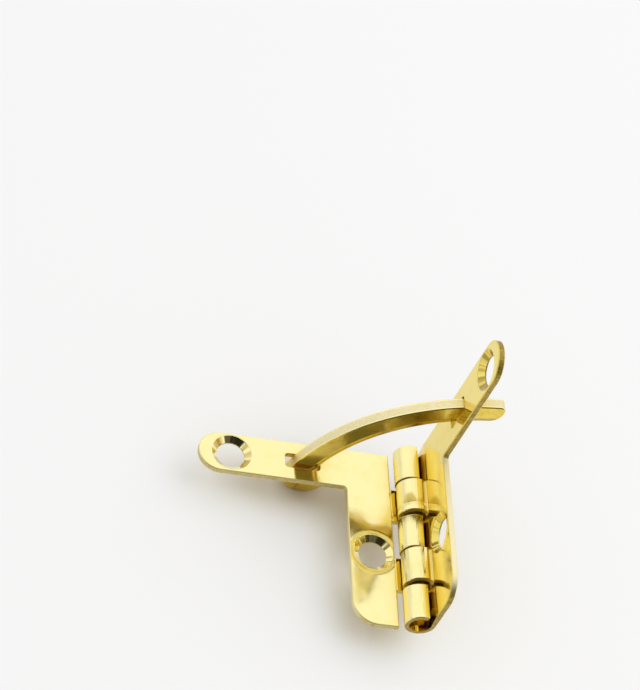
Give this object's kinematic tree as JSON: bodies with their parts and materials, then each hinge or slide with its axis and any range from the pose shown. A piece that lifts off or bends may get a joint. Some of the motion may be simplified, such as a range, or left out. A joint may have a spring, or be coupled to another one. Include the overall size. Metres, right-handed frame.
{
  "type": "quadrant hinge",
  "caption": "Small brass-plated quadrant hinge for a wooden box, with L-shaped leaves and a loose curved stay that stops the lid.",
  "frame": {"origin": "axis of the box leaf's body screw hole, at that leaf's back face", "axes": "+Z out of the box leaf's countersunk inner face, +Y along the hinge pin towards the arms, -X along the box leaf's arm"},
  "size_m": [0.0412, 0.0306, 0.0407],
  "materials": {
    "plated_sheet": "polished plating",
    "plated_strip": "polished plating on the sides, fine-grained on the cut edges",
    "pin_wire": "drawn wire, dull"
  },
  "bodies": {
    "box_side": {"box_leaf": "plated_sheet"},
    "lid_side": {"lid_leaf": "plated_sheet", "hinge_pin": "pin_wire"},
    "stay": {"quadrant_stay": "plated_strip"}
  },
  "joints": [
    {"name": "lid_hinge", "type": "hinge", "parent": "box_side", "child": "lid_side", "pos_m": [0.0063, 0.0025, 0.00235], "axis": [0, 1, 0], "range_deg": [-92, 0]},
    {"name": "stay_swing", "type": "hinge", "parent": "box_side", "child": "stay", "pos_m": [0.0045, 0.0144, -0.00165], "axis": [0, 1, 0], "range_deg": [-46, 0]}
  ],
  "couplings": [
    {"joint": "stay_swing", "follows": "lid_hinge", "ratio": 0.5}
  ]
}
